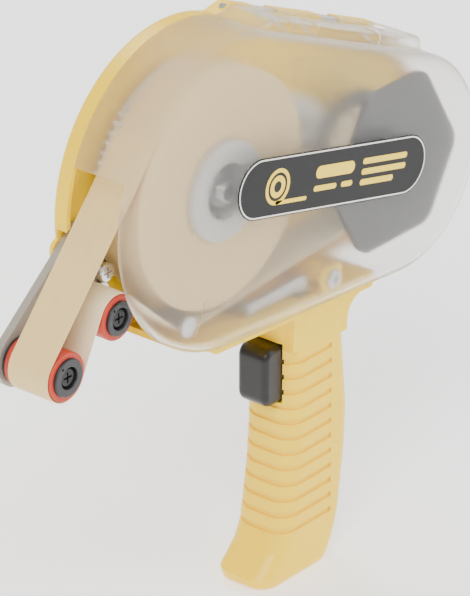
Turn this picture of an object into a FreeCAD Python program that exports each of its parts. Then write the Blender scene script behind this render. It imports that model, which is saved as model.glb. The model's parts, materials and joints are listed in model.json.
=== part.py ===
import FreeCAD, Part
import math
import os
import re
import Sketcher

"""Hand-held adhesive transfer tape dispenser with a pistol grip.

Frame: X runs from the nose (-X) to the tail (+X), the hinged cover faces -Y, Z is up.
The origin is on the grip's flat foot, at the seam. Lengths are in millimetres, angles in degrees.
"""

V = FreeCAD.Vector
document = FreeCAD.newDocument("tape_dispenser")
sheet = document.addObject("Spreadsheet::Sheet", "Sizes")

DRIVING_SIZES = {
    # the two spools, their gear train and the tilt of the head
    "supply_x": -38.8, "supply_z": 183.0, "head_tilt": 13.7,
    "gear_module": 1.25, "supply_teeth": 70, "idler_teeth": 37, "takeup_teeth": 24,
    "gear_backlash": 0.25, "gear_near": 10.3, "gear_width": 4.0,
    # the casing
    "nose_radius": 61.5, "tail_radius": 44.7, "casing_back": 18.5, "casing_wall": 2.0,
    "rim_near": 11.5, "floor_near": -12.8, "floor_wall": 2.2, "floor_start_angle": 29.5,
    "edge_round": 2.0, "boss_height": 1.6, "boss_radius": 7.0,
    "lug_dx": -59.5, "lug_dz": -10.5, "lug_radius": 4.5,
    "lip_front": -2.0, "lip_rear": 94.5, "lip_depth": 4.5, "lip_round": 1.6, "neck_fillet": 9.0,
    # the hinge along the roof
    "hump_rise": 5.0, "hump_start": 1.0, "hump_end": 103.0, "hump_ramp": 7.0, "hump_near": -11.5,
    "hinge_y": 13.3, "hinge_drop": 1.9, "hinge_pin_radius": 1.1,
    "knuckle_radius": 1.9, "knuckle_length": 12.0, "knuckle_first": 24.0, "knuckle_second": 66.0,
    "rib_width": 2.2, "rib_rise": 0.6, "hinge_relief": 0.4,
    # the cover
    "cover_near": -21.0, "cover_wall": 1.8, "cover_round": 6.0, "seam_gap": 0.25,
    "shelf_far": 8.6, "window_1_start": 20.0, "window_1_end": 33.0, "window_2_start": 37.0,
    "window_2_end": 73.0, "window_3_start": 77.0, "window_3_end": 92.0, "window_near": -2.5,
    "window_far": 8.4, "window_round": 1.0, "rib_1_middle": 18.0, "rib_2_middle": 35.0,
    "rib_3_middle": 75.0, "mark_start": 11.5, "mark_end": 16.5, "mark_low": 45.5, "mark_high": 54.0,
    "latch_start": -7.0, "latch_end": 15.0, "latch_low": -54.5, "latch_high": -40.0,
    "panel_rise": 0.4, "panel_round": 1.2,
    "mouth_angle": 17.5, "label_length": 116.0, "label_height": 24.0, "label_thick": 0.5,
    "label_x": 54.8, "label_rise": 2.0,
    # tape, liner and spools
    "tape_near": -10.5, "tape_width": 19.0, "roll_radius": 47.0, "core_radius": 12.9,
    "core_wall": 3.0, "web_gap": 0.3, "web_thick": 0.35, "hub_flange_radius": 24.0,
    "hub_flange": 1.0, "ring_radius": 19.7, "ring_thick": 2.6, "spindle_radius": 4.0,
    "wound_radius": 17.0, "takeup_hub_radius": 12.0, "felt_thick": 0.5, "felt_radius": 11.5,
    "collar_radius": 5.5, "clip_radius": 6.0, "cap_radius": 8.2, "clutch_wire": 0.6,
    "clutch_coil": 6.4, "clutch_turns": 6, "lobe_radius": 33.0, "lobe_swing": 27.0,
    "lobe_round": 9.0, "lobe_thick": 2.4, "run_gap": 0.05, "side_gap": 0.3,
    # nose arm and rollers, placed from the supply axis
    "front_dx": -87.9, "front_dz": -43.2, "rear_dx": -59.4, "rear_dz": -30.2,
    "front_tyre_radius": 9.6, "rear_tyre_radius": 8.9, "tyre_wall": 2.1, "tyre_reach": 11.2,
    "roller_hub_step": 1.2, "roller_flange": 1.0, "recess_radius": 4.3, "recess_depth": 3.0,
    "shoulder_radius": 2.4, "head_radius": 3.8, "head_height": 1.8, "cross_reach": 2.2,
    "cross_width": 0.8, "arm_near": 12.6, "arm_thick": 3.4, "arm_radius": 11.0,
    "arm_screw_radius": 1.8, "arm_screw_reach": 53.6, "arm_screw_angle": 21.4,
    "second_screw_angle": 37.0, "tension_wire": 0.45, "tension_coil": 2.9, "tension_turns": 8,
    "post_radius": 2.5, "post_dx": -21.2, "post_dz": -48.5,
    # the grip
    "half_grip": 13.0, "grip_round": 8.5, "grip_wall": 2.4, "groove_depth": 0.9,
    "groove_width": 2.2, "groove_pitch": 6.57, "groove_count": 12, "groove_first": 20.9,
    "groove_rear": 25.2,
    # trigger, its spring and the brake
    "trigger_low": 76.5, "trigger_high": 101.5, "trigger_front": -8.6, "trigger_half": 7.3,
    "trigger_round": 5.0, "trigger_edge": 2.6, "trigger_travel": 5.0, "trigger_gap": 0.3,
    "trigger_flange": 1.6,
    "flange_overlap": 1.5, "spring_wire": 0.5, "spring_coil": 3.2, "spring_z": 86.0,
    "spring_seat_x": 20.0, "spring_turns": 6, "brake_x": -20.0, "brake_z": 125.0,
    "brake_pin_radius": 1.5, "brake_tube": 2.7, "brake_foot_x": 12.0, "brake_foot_z": 88.0,
    "brake_bar": 5.0, "brake_plate": 3.0, "brake_near": -8.5, "pad_thick": 2.0, "pad_length": 10.0,
    "nose_z": 97.0,
    # fastenings of the grip
    "grip_screw_radius": 1.5, "grip_boss_radius": 3.8, "high_screw_x": 22.0, "high_screw_z": 58.0,
    "low_screw_x": 14.0, "low_screw_z": 16.0, "tab_x": 24.5, "tab_z": 123.2, "tab_half": 6.0,
    "tab_thick": 2.0, "tab_drop": 11.0, "tab_rise": 5.0,
}

WORKED_OUT = {
    "spool_spacing": "gear_module * (supply_teeth + 2 * idler_teeth + takeup_teeth) / 2",
    "idler_spacing": "gear_module * (supply_teeth + idler_teeth) / 2",
    "belt_angle": "asin((nose_radius - tail_radius) / spool_spacing) / 1 deg",
    "belt_run": "spool_spacing * cos(belt_angle)",
    "belt_drop": "spool_spacing * sin(belt_angle)",
    "takeup_x": "supply_x + spool_spacing * cos(head_tilt)",
    "takeup_z": "supply_z - spool_spacing * sin(head_tilt)",
    "idler_x": "supply_x + idler_spacing * cos(head_tilt)",
    "idler_z": "supply_z - idler_spacing * sin(head_tilt)",
    "front_x": "supply_x + front_dx",
    "front_z": "supply_z + front_dz",
    "rear_x": "supply_x + rear_dx",
    "rear_z": "supply_z + rear_dz",
    "post_x": "supply_x + post_dx",
    "post_z": "supply_z + post_dz",
    "casing_inner": "casing_back - casing_wall",
    "boss_near": "casing_inner - boss_height",
    "cover_far": "rim_near - seam_gap",
    "cover_floor": "floor_near - seam_gap",
    "tape_far": "tape_near + tape_width",
    "gear_far": "gear_near + gear_width",
    "lug_near": "arm_near + arm_thick + side_gap",
    "hinge_z": "nose_radius + hump_rise - hinge_drop",
}

# height, front, rear and edge set-back of the grip's outline at each station, sole to collar
GRIP_STATIONS = (
    ("sole", 0.0, -13.5, 25.0, 1.6),
    ("welt", 1.6, -15.8, 27.0, 0.3),
    ("toe", 5.0, -16.8, 29.3, 0.0),
    ("instep", 9.0, -12.6, 31.4, 0.0),
    ("ankle", 13.5, -8.2, 33.2, 0.0),
    ("shin", 21.0, -4.7, 35.2, 0.0),
    ("palm", 46.0, -0.8, 38.6, 0.0),
    ("finger", 64.0, 0.6, 39.4, 0.0),
    ("neck", 100.0, 0.8, 35.8, 0.0),
    ("collar", 119.0, 0.8, 35.0, 0.0),
)


def fill_sheet():
    """Write every size into the sheet, one row each, and name its cell."""
    stations = {}
    for name, height, front, rear, set_back in GRIP_STATIONS:
        stations.update({name + "_z": height, name + "_front": front, name + "_rear": rear})
        stations[name + "_set_back"] = set_back
    rows = list(DRIVING_SIZES.items()) + list(stations.items())
    rows += [(alias, "=" + formula) for alias, formula in WORKED_OUT.items()]
    for row, (alias, content) in enumerate(rows, start=1):
        sheet.set("A%d" % row, alias)
        sheet.set("B%d" % row, str(content))
        sheet.setAlias("B%d" % row, alias)
    document.recompute()


def on_sheet(formula):
    """The formula with each name in it read from the sheet."""
    def read(match):
        word = match.group(0)
        return word if word in ("sin", "cos", "tan", "asin", "sqrt") else "Sizes." + word
    return re.sub(r"[a-z][a-z_0-9]*", read, str(formula))


def value(formula):
    """The number that a formula on the sheet comes to."""
    result = sheet.evalExpression(on_sheet(formula))
    return float(getattr(result, "Value", result))


def bind(target, sizes):
    """Bind each property of target to its formula."""
    for prop, formula in sizes.items():
        target.setExpression(prop, on_sheet(formula))


# ---------------------------------------------------------------- sketches and bodies

def new_body(label, x="0", z="0", turn=None):
    """A body whose frame stands at x, z and is turned about Y."""
    body = document.addObject("PartDesign::Body", label)
    body.Label = label
    turned = FreeCAD.Rotation(V(0, 1, 0), value(turn)) if turn else FreeCAD.Rotation()
    body.Placement = FreeCAD.Placement(V(value(x), 0, value(z)), turned)
    bind(body, {"Placement.Base.x": x, "Placement.Base.z": z})
    if turn:
        bind(body, {"Placement.Rotation.Angle": "(%s)" % turn})
    return body


def roof_body(label):
    """A body framed on the supply axis, with X along the casing's roof line."""
    return new_body(label, "supply_x", "supply_z", "head_tilt + belt_angle")


def floor_body(label):
    """A body framed on the supply axis, with X along the casing's floor line."""
    return new_body(label, "supply_x", "supply_z", "head_tilt - belt_angle")


def new_sketch(body, role, offset):
    """An empty sketch on one of the body's own planes, moved along the plane's normal."""
    sketch = body.newObject("Sketcher::SketchObject", body.Name + "_sketch")
    plane = [feature for feature in body.Origin.OriginFeatures if feature.Role == role][0]
    sketch.AttachmentSupport = (plane, "")
    sketch.MapMode = "FlatFace"
    bind(sketch, {"AttachmentOffset.Base.z": offset})
    return sketch


def pin_point(sketch, geometry, position, x, y):
    """Hold a sketch point at x, y from the sketch's origin."""
    for kind, formula in (("DistanceX", x), ("DistanceY", y)):
        constraint = Sketcher.Constraint(kind, -1, 1, geometry, position, value(formula))
        index = sketch.addConstraint(constraint)
        sketch.setExpression("Constraints[%d]" % index, on_sheet(formula))


def hold_radius(sketch, geometry, radius):
    index = sketch.addConstraint(Sketcher.Constraint("Radius", geometry, value(radius)))
    sketch.setExpression("Constraints[%d]" % index, on_sheet(radius))


def corner_arc(here, before, after, radius):
    """Where a rounded corner leaves its two sides, the arc between, and if it turns left."""
    towards_before = (before - here).normalize()
    towards_after = (after - here).normalize()
    half = towards_before.getAngle(towards_after) / 2
    reach = radius / math.tan(half)
    leaves = here + towards_before * reach
    joins = here + towards_after * reach
    centre = here + (towards_before + towards_after).normalize() * (radius / math.sin(half))
    turns_left = (here - before).cross(after - here).z > 0
    first, last = (leaves, joins) if turns_left else (joins, leaves)
    angles = [math.atan2(point.y - centre.y, point.x - centre.x) for point in (first, last)]
    circle = Part.Circle(centre, V(0, 0, 1), radius)
    return leaves, joins, Part.ArcOfCircle(circle, angles[0], angles[1]), turns_left


def draw_outline(sketch, corners):
    """A closed outline. A corner is (x, y), or (x, y, radius) where it is rounded."""
    points = [V(value(corner[0]), value(corner[1]), 0) for corner in corners]
    count = len(corners)
    rounded = {}
    for index, corner in enumerate(corners):
        if len(corner) > 2:
            before, after = points[index - 1], points[(index + 1) % count]
            rounded[index] = corner_arc(points[index], before, after, value(corner[2]))
    lines = []
    for index in range(count):
        following = (index + 1) % count
        start = rounded[index][1] if index in rounded else points[index]
        end = rounded[following][0] if following in rounded else points[following]
        lines.append(sketch.addGeometry(Part.LineSegment(start, end)))
    for index, corner in enumerate(corners):
        incoming, outgoing = lines[index - 1], lines[index]
        if index not in rounded:
            sketch.addConstraint(Sketcher.Constraint("Coincident", incoming, 2, outgoing, 1))
            pin_point(sketch, outgoing, 1, corner[0], corner[1])
            continue
        arc = sketch.addGeometry(rounded[index][2])
        first, last = (1, 2) if rounded[index][3] else (2, 1)
        sketch.addConstraint(Sketcher.Constraint("Tangent", incoming, 2, arc, first))
        sketch.addConstraint(Sketcher.Constraint("Tangent", arc, last, outgoing, 1))
        hold_radius(sketch, arc, corner[2])
        point = sketch.addGeometry(Part.Point(points[index]), True)
        sketch.addConstraint(Sketcher.Constraint("PointOnObject", point, 1, incoming))
        sketch.addConstraint(Sketcher.Constraint("PointOnObject", point, 1, outgoing))
        pin_point(sketch, point, 1, corner[0], corner[1])


def draw_circle(sketch, x, y, radius):
    circle = Part.Circle(V(value(x), value(y), 0), V(0, 0, 1), value(radius))
    geometry = sketch.addGeometry(circle)
    pin_point(sketch, geometry, 3, x, y)
    hold_radius(sketch, geometry, radius)


def draw_belt(sketch, far_x, far_y, inset):
    """The casing's outline: a belt round the nose circle and the tail circle, drawn inset."""
    nose = "nose_radius - (%s)" % inset
    tail = "tail_radius - (%s)" % inset
    far = V(value(far_x), value(far_y), 0)
    heading = math.atan2(far.y, far.x)
    quarter = math.pi / 2 - math.asin((value(nose) - value(tail)) / far.Length)
    upper, lower = heading + quarter, heading - quarter
    ends = {}
    for name, centre, radius in (("nose", V(), value(nose)), ("tail", far, value(tail))):
        for side, angle in (("upper", upper), ("lower", lower)):
            ends[name, side] = centre + V(math.cos(angle), math.sin(angle), 0) * radius
    axis = V(0, 0, 1)
    nose_arc = Part.ArcOfCircle(Part.Circle(V(), axis, value(nose)), upper, lower + 2 * math.pi)
    tail_arc = Part.ArcOfCircle(Part.Circle(far, axis, value(tail)), lower, upper)
    roof = Part.LineSegment(ends["tail", "upper"], ends["nose", "upper"])
    ground = Part.LineSegment(ends["nose", "lower"], ends["tail", "lower"])
    nose_arc, ground, tail_arc, roof = [
        sketch.addGeometry(part) for part in (nose_arc, ground, tail_arc, roof)]
    sketch.addConstraint(Sketcher.Constraint("Coincident", nose_arc, 3, -1, 1))
    pin_point(sketch, tail_arc, 3, far_x, far_y)
    hold_radius(sketch, nose_arc, nose)
    hold_radius(sketch, tail_arc, tail)
    for first, second in ((nose_arc, ground), (ground, tail_arc), (tail_arc, roof), (roof, nose_arc)):
        sketch.addConstraint(Sketcher.Constraint("Tangent", first, 2, second, 1))


def roof_belt(sketch, inset="0"):
    draw_belt(sketch, "belt_run", "belt_drop", inset)


def floor_belt(sketch, inset="0"):
    draw_belt(sketch, "belt_run", "-belt_drop", inset)


def checked_volume(body, feature, grows):
    """Recompute, and fail if the feature did not change the solid the way it should."""
    before = body.Shape.Volume if not body.Shape.isNull() else 0.0
    document.recompute()
    after = body.Shape.Volume
    if (after > before) != grows:
        raise RuntimeError("%s does nothing in %s" % (feature.Name, body.Label))


def prism(body, low, high, draw):
    """Add the drawn outline to the body, from Y = low to Y = high."""
    sketch = new_sketch(body, "XZ_Plane", "-(%s)" % high)
    draw(sketch)
    pad = body.newObject("PartDesign::Pad", body.Name + "_pad")
    pad.Profile = sketch
    bind(pad, {"Length": "(%s) - (%s)" % (high, low)})
    checked_volume(body, pad, True)
    return pad


def hollow(body, low, high, draw):
    """Cut the drawn outline out of the body, from Y = low to Y = high."""
    sketch = new_sketch(body, "XZ_Plane", "-(%s)" % low)
    draw(sketch)
    pocket = body.newObject("PartDesign::Pocket", body.Name + "_pocket")
    pocket.Profile = sketch
    bind(pocket, {"Length": "(%s) - (%s)" % (high, low)})
    checked_volume(body, pocket, False)
    return pocket


def outline(*corners):
    return lambda sketch: draw_outline(sketch, corners)


def circle(x, y, radius):
    return lambda sketch: draw_circle(sketch, x, y, radius)


def turned(label, x, z, *profile):
    """A body turned about the Y direction through x, z. The profile is (radius, Y) corners."""
    body = new_body(label, x, z)
    add_turned(body, *profile)
    return body


def add_turned(body, *profile):
    sketch = new_sketch(body, "XY_Plane", "0")
    draw_outline(sketch, profile)
    revolution = body.newObject("PartDesign::Revolution", body.Name + "_revolution")
    revolution.Profile = sketch
    revolution.ReferenceAxis = (sketch, ["V_Axis"])
    revolution.Angle = 360
    checked_volume(body, revolution, True)


def tube(label, x, z, inner, outer, low, high):
    """A plain ring or bush about the Y direction."""
    return turned(label, x, z, (inner, low), (outer, low), (outer, high), (inner, high))


def round_edges(body, radius, chosen):
    """Fillet the edges of the body that the test picks."""
    base = body.Tip
    names = ["Edge%d" % number for number, edge in enumerate(body.Shape.Edges, start=1) if chosen(edge)]
    if not names:
        raise RuntimeError("no edges to round in " + body.Label)
    fillet = body.newObject("PartDesign::Fillet", body.Name + "_fillet")
    fillet.Base = (base, names)
    bind(fillet, {"Radius": radius})
    document.recompute()


def lies_at_y(y):
    """A test for edges that lie wholly at one Y."""
    level = value(y)
    return lambda edge: abs(edge.BoundBox.YMin - level) < 1e-4 and abs(edge.BoundBox.YMax - level) < 1e-4


def combined(kind, label, parts):
    """A boolean of several objects, kept in the document."""
    result = document.addObject(kind, label)
    result.Label = label
    if kind == "Part::Cut":
        result.Base, result.Tool = parts
    elif kind == "Part::Compound":
        result.Links = parts
    else:
        result.Shapes = parts
    document.recompute()
    return result


def cross(x, z):
    """The outline of a cross recess."""
    def at(across, up):
        return ("%s + (%s)" % (x, across), "%s + (%s)" % (z, up))
    w, r = "cross_width / 2", "cross_reach"
    return outline(
        at(w, w), at(w, r), at("-" + w, r), at("-" + w, w), at("-" + r, w), at("-" + r, "-" + w),
        at("-" + w, "-" + w), at("-" + w, "-" + r), at(w, "-" + r), at(w, "-" + w),
        at(r, "-" + w), at(r, w))


def cross_screw(label, x, z, face, inward, shank_radius, shank_end):
    """A screw whose head's face is at Y = face. Inward is the sign of Y into the work."""
    def depth(share):
        return "%s %s (%s)" % (face, inward, share)
    body = turned(
        label, x, z, ("0", face), ("head_radius - 0.5", face), ("head_radius", depth("0.5")),
        ("head_radius", depth("head_height")), (shank_radius, depth("head_height")),
        (shank_radius, shank_end), ("0", shank_end))
    recess = depth("head_height * 0.6")
    low, high = (face, recess) if inward == "+" else (recess, face)
    hollow(body, low, high, cross("0", "0"))
    return body


def coil_spring(label, wire, coil, turns, length, base, axis):
    """A round-wire spring standing at base and wound along axis."""
    helix = document.addObject("Part::Helix", label + "_helix")
    bind(helix, {"Height": length, "Radius": coil, "Pitch": "(%s) / (%s)" % (length, turns)})
    section = document.addObject("Part::Circle", label + "_wire")
    section.Placement = FreeCAD.Placement(V(value(coil), 0, 0), FreeCAD.Rotation(V(1, 0, 0), 90))
    bind(section, {"Radius": wire, "Placement.Base.x": coil})
    spring = document.addObject("Part::Sweep", label)
    spring.Label = label
    spring.Sections = [section]
    spring.Spine = (helix, [])
    spring.Solid = True
    spring.Frenet = True
    spring.Placement = FreeCAD.Placement(
        V(*[value(part) for part in base]), FreeCAD.Rotation(V(0, 0, 1), axis))
    for letter, part in zip("xyz", base):
        bind(spring, {"Placement.Base." + letter: part})
    document.recompute()
    return spring


# ---------------------------------------------------------------- gears

def flank_angle(radius, pitch_radius, teeth):
    """Half the angle that a tooth spans at a radius, on an involute of 20 degrees pressure."""
    pressure = math.radians(20)
    at_radius = math.acos(min(1.0, pitch_radius * math.cos(pressure) / radius))
    involute = math.tan(pressure) - pressure - math.tan(at_radius) + at_radius
    thinned = value("gear_backlash") / (4 * pitch_radius)
    return math.pi / (2 * teeth) - thinned + involute


def gear_outline(teeth, module, turn):
    """The closed wire of a spur gear in the XZ plane, a tooth's middle at the turn angle."""
    pitch_radius = module * teeth / 2
    tip, root = pitch_radius + module, pitch_radius - 1.25 * module
    foot = max(root, pitch_radius * math.cos(math.radians(20)))

    def at(radius, angle):
        return V(radius * math.cos(angle), 0, radius * math.sin(angle))

    edges = []
    steps = [foot + (tip - foot) * step / 3 for step in range(4)]
    for tooth in range(teeth):
        middle = math.radians(turn) + 2 * math.pi * tooth / teeth
        following = middle + 2 * math.pi / teeth
        rising = [at(radius, middle - flank_angle(radius, pitch_radius, teeth)) for radius in steps]
        falling = [at(radius, middle + flank_angle(radius, pitch_radius, teeth)) for radius in steps[::-1]]
        foot_angle = flank_angle(foot, pitch_radius, teeth)
        for flank in (rising, falling):
            curve = Part.BSplineCurve()
            curve.interpolate(flank)
            edges.append(curve.toShape())
        edges.append(Part.Arc(rising[-1], at(tip, middle), falling[0]).toShape())
        root_start, root_end = at(root, middle + foot_angle), at(root, following - foot_angle)
        if foot > root:
            edges.append(Part.makeLine(falling[-1], root_start))
            edges.append(Part.makeLine(root_end, at(foot, following - foot_angle)))
        edges.append(Part.Arc(root_start, at(root, (middle + following) / 2), root_end).toShape())
    return Part.Wire(Part.__sortEdges__(edges))


def spur_gear(label, teeth, x, z, bore, turn, web_holes):
    """A spur gear about the Y direction, with round holes in its web."""
    count = int(round(value(teeth)))
    module = value("gear_module")
    low, width = value("gear_near"), value("gear_width")
    solid = Part.Face(gear_outline(count, module, turn)).extrude(V(0, width, 0))
    solid = solid.cut(Part.makeCylinder(value(bore), width, V(), V(0, 1, 0)))
    rim = module * count / 2 - 3 * module
    ring, hole = (value(bore) + rim) / 2, (rim - value(bore)) / 2 * 0.62
    for number in range(web_holes):
        angle = 2 * math.pi * number / web_holes
        centre = V(ring * math.cos(angle), 0, ring * math.sin(angle))
        solid = solid.cut(Part.makeCylinder(hole, width, centre, V(0, 1, 0)))
    gear = document.addObject("Part::Feature", label)
    gear.Label = label
    gear.Shape = solid
    gear.Placement = FreeCAD.Placement(V(value(x), low, value(z)), FreeCAD.Rotation())
    return gear


# ---------------------------------------------------------------- tape and liner webs

def tangent_normal(first, second, first_radius, second_radius, side):
    """Unit normal of a line touching both circles. A negative radius touches on the other side."""
    run = second - first
    heading = math.atan2(run.z, run.x)
    angle = heading + side * math.acos((first_radius - second_radius) / run.Length)
    return V(math.cos(angle), 0, math.sin(angle))


def band(centre, inner, thick, start, end):
    """A curved strip of web about a centre, from one angle to another, anticlockwise."""
    def at(radius, angle):
        return centre + V(radius * math.cos(angle), 0, radius * math.sin(angle))
    middle = (start + end) / 2
    outer = inner + thick
    edges = [
        Part.Arc(at(inner, start), at(inner, middle), at(inner, end)).toShape(),
        Part.makeLine(at(inner, end), at(outer, end)),
        Part.Arc(at(outer, end), at(outer, middle), at(outer, start)).toShape(),
        Part.makeLine(at(outer, start), at(inner, start)),
    ]
    return Part.Face(Part.Wire(edges))


def strip(start, end, normal, thick):
    """A straight strip of web that thickens along the normal."""
    lift = normal * thick
    return Part.Face(Part.makePolygon([start, end, end + lift, start + lift, start]))


def web_node(label, faces):
    """One web from its strips and bands, as wide as the tape."""
    width = V(0, value("tape_width"), 0)
    pieces = [face.extrude(width) for face in faces]
    solid = pieces[0].multiFuse(pieces[1:]).removeSplitter()
    web = document.addObject("Part::Feature", label)
    web.Label = label
    web.Shape = solid
    web.Placement = FreeCAD.Placement(V(0, value("tape_near"), 0), FreeCAD.Rotation())
    return web


def centre_of(name):
    return V(value(name + "_x"), 0, value(name + "_z"))


def angle_of(normal):
    return math.atan2(normal.z, normal.x)


def make_webs():
    """The tape from the roll round the front roller, and the liner on to the take-up."""
    gap, thick = value("web_gap"), value("web_thick")
    supply, front, rear, post, takeup = [
        centre_of(name) for name in ("supply", "front", "rear", "post", "takeup")]
    roll = value("roll_radius") + gap
    on_front = value("front_tyre_radius") + gap
    on_rear = value("rear_tyre_radius") + gap
    on_post = value("post_radius + run_gap")
    wound = value("wound_radius") + gap
    past_rear, past_post = on_rear + thick, on_post + thick
    down = tangent_normal(front, supply, on_front, roll, 1)
    across = tangent_normal(front, rear, on_front, -past_rear, -1)
    under = tangent_normal(rear, post, on_rear, -past_post, 1)
    lower = tangent_normal(post, takeup, on_post, wound, -1)
    turn = 2 * math.pi
    tape = [
        strip(supply + down * roll, front + down * on_front, down, thick),
        band(front, on_front, thick, angle_of(down), angle_of(across) + turn),
    ]
    liner = [
        strip(front + across * on_front, rear - across * past_rear, across, thick),
        band(rear, on_rear, thick, angle_of(under), angle_of(across * -1)),
        strip(rear + under * on_rear, post - under * past_post, under, thick),
        band(post, on_post, thick, angle_of(under * -1) + turn, angle_of(lower) + turn),
        strip(post + lower * on_post, takeup + lower * wound, lower, thick),
    ]
    return [web_node("tape_web", tape), web_node("liner_web", liner)]


# ---------------------------------------------------------------- the yellow casing and grip

def grip_corners(station, side, inset):
    """Half of the grip's section at a station, from the seam to one side."""
    front = "%s_front + (%s)" % (station, inset)
    rear = "%s_rear - (%s)" % (station, inset)
    width = "%s (half_grip - %s_set_back - (%s))" % (side, station, inset)
    radius = "grip_round - %s_set_back - (%s)" % (station, inset)
    return ((front, "0"), (front, width, radius), (rear, width, radius), (rear, "0"))


def grip_loft(body, side, inset, kind, stations, first_height):
    """Loft the grip's sections through the stations, added to or cut from the body."""
    sketches = []
    for index, station in enumerate(stations):
        name = station[0]
        height = first_height if index == 0 else name + "_z"
        sketch = new_sketch(body, "XY_Plane", height)
        draw_outline(sketch, grip_corners(name, side, inset))
        sketches.append(sketch)
    loft = body.newObject("PartDesign::" + kind, body.Name + "_loft")
    loft.Profile = sketches[0]
    loft.Sections = sketches[1:]
    loft.Ruled = True
    checked_volume(body, loft, kind == "AdditiveLoft")


def at_height(height, edge):
    """The grip's front or rear at a height, as a formula between the two stations about it."""
    for low, high in zip(GRIP_STATIONS, GRIP_STATIONS[1:]):
        low, high = low[0], high[0]
        if value(low + "_z") <= value(height) <= value(high + "_z"):
            share = "((%s) - %s_z) / (%s_z - %s_z)" % (height, low, high, low)
            return "(%s_%s + (%s_%s - %s_%s) * %s)" % (low, edge, high, edge, low, edge, share)
    raise RuntimeError("the grip has no station about " + height)


def groove_cutter():
    """The bands that the finger grooves take off the front of the grip."""
    bands = []
    for number in range(int(value("groove_count"))):
        height = "groove_first + %d * groove_pitch" % number
        front = at_height(height + " + groove_width / 2", "front") + " + groove_depth"
        half, reach = "half_grip - groove_depth", "grip_round - groove_depth"
        band = new_body("groove_%d" % number)
        sketch = new_sketch(band, "XY_Plane", height)
        draw_outline(sketch, (
            ("-30", "-half_grip - 1"), ("groove_rear", "-half_grip - 1"), ("groove_rear", "-(%s)" % half),
            (front, "-(%s)" % half, reach), (front, half, reach), ("groove_rear", half),
            ("groove_rear", "half_grip + 1"), ("-30", "half_grip + 1")))
        pad = band.newObject("PartDesign::Pad", "groove_pad")
        pad.Profile = sketch
        bind(pad, {"Length": "groove_width"})
        checked_volume(band, pad, True)
        bands.append(band)
    return combined("Part::Compound", "groove_bands", bands)


def grip_half(label, side):
    """One hollow half of the grip."""
    body = new_body(label)
    grip_loft(body, side, "0", "AdditiveLoft", GRIP_STATIONS, "sole_z")
    grip_loft(body, side, "grip_wall", "SubtractiveLoft", GRIP_STATIONS[2:], "grip_wall + 0.6")
    return body


def neck_lip(label, low, high):
    """The lip under the casing's floor, with its fillets into the neck of the grip."""
    body = floor_body(label)
    top, under, deep = "-nose_radius", "-nose_radius - lip_depth", "-nose_radius - lip_depth - 14"
    front, rear = "neck_front - supply_x + 7", "neck_rear - supply_x + 5.2"
    prism(body, low, high, outline(
        ("lip_front", top), ("lip_front", under, "lip_round"), (front, under), (front, deep),
        (rear, deep), (rear, under, "neck_fillet"), ("lip_rear", under, "lip_round"),
        ("lip_rear", top)))
    return body


def lip_channel(label):
    """The space inside the neck that the lip leaves open, for the trigger and the brake."""
    body = floor_body(label)
    prism(body, "-half_grip + grip_wall + 0.6", "half_grip - grip_wall - 0.6", outline(
        ("neck_front - supply_x + 9.8", "-nose_radius - lip_depth - 20"),
        ("neck_rear - supply_x + 2.6", "-nose_radius - lip_depth - 20"),
        ("neck_rear - supply_x + 2.6", "-nose_radius - 2.5"),
        ("neck_front - supply_x + 9.8", "-nose_radius - 2.5")))
    return body


def casing_shell():
    """The back plate with its rim and the hinge hump along the roof."""
    body = roof_body("casing_shell")
    prism(body, "rim_near", "casing_back", roof_belt)
    round_edges(body, "edge_round", lies_at_y("casing_back"))
    hollow(body, "rim_near", "casing_inner", lambda sketch: roof_belt(sketch, "casing_wall"))
    top = "nose_radius + hump_rise"
    prism(body, "rim_near", "casing_back - 0.6", outline(
        ("hump_start - 3", "nose_radius - 1.2"), ("hump_end + 3", "nose_radius - 1.2"),
        ("hump_end", top, "2"), ("hump_start + hump_ramp", top, "2.5")))
    for start in ("knuckle_first", "knuckle_second"):
        hollow(body, "rim_near", "casing_back", outline(
            (start + " - side_gap", "hinge_z - knuckle_radius - 0.5"),
            (start + " + knuckle_length + side_gap", "hinge_z - knuckle_radius - 0.5"),
            (start + " + knuckle_length + side_gap", top + " + 1"), (start + " - side_gap", top + " + 1")))
    along_roof(body, "hump_start - 3", "hump_end - hump_start + 6", outline(
        ("rim_near - hinge_relief", "hinge_z + hinge_relief"), ("hinge_y - hinge_relief", top),
        ("hinge_y - hinge_relief", top + " + 1"), ("rim_near - hinge_relief",
                                                   top + " + 1")), "PartDesign::Pocket")
    bore = new_sketch(body, "YZ_Plane", "hump_end + 6")
    draw_circle(bore, "hinge_y", "hinge_z", "hinge_pin_radius + 0.02")
    hole = body.newObject("PartDesign::Pocket", "hinge_bore")
    hole.Profile = bore
    bind(hole, {"Length": "hump_end - hump_start + 14"})
    checked_volume(body, hole, False)
    return body


def casing_floor():
    """The floor wall under the spools, from the nose opening to the end of the lip."""
    body = floor_body("casing_floor")
    prism(body, "floor_near", "casing_inner + 0.5", floor_belt)
    hollow(body, "floor_near", "casing_inner + 0.5", lambda sketch: floor_belt(sketch, "floor_wall"))
    far = "nose_radius + tail_radius + spool_spacing"
    back = "-(%s)" % far
    front_x = "-nose_radius * 1.2 * sin(floor_start_angle)"
    front_z = "-nose_radius * 1.2 * cos(floor_start_angle)"
    hollow(body, "floor_near", "casing_inner + 0.5", outline(
        ("0", "0"), (front_x, front_z), (back, front_z), (back, far), (far, far),
        (far, back), ("lip_rear", back), ("lip_rear", "-nose_radius + 6")))
    return body


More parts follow.
